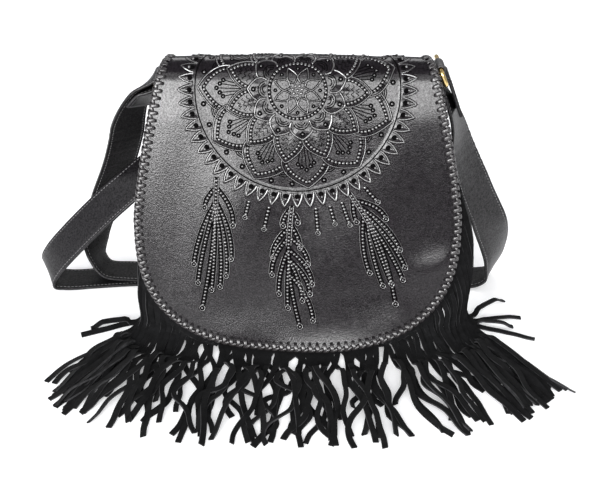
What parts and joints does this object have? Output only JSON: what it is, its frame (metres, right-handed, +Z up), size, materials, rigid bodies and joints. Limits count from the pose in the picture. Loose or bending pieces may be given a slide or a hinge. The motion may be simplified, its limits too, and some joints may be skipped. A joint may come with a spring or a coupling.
{
  "type": "leather sling bag",
  "caption": "Black tooled-leather sling bag with a rounded laced flap over its front, a suede fringe along the lower seam and a long stitched shoulder strap on brass rings.",
  "frame": {"origin": "on the floor, under the middle of the flat base", "axes": "+Z up, the flap faces -Y, +X is the right side seen from the front"},
  "size_m": [0.4667, 0.2731, 0.2457],
  "materials": {
    "tooled_leather": "semi-gloss, tooled",
    "lace": "satin lace",
    "suede": "matt suede",
    "strap_leather": "satin, stitched along both edges",
    "brass": "polished"
  },
  "bodies": {
    "root": {"flap": "tooled_leather", "front_panel": "tooled_leather", "back_panel": "tooled_leather", "gusset": "tooled_leather", "tab_left": "tooled_leather", "tab_right": "tooled_leather", "flap_lacing": "lace", "fringe": "suede", "strap": "strap_leather", "ring_left": "brass", "ring_right": "brass"}
  },
  "joints": []
}
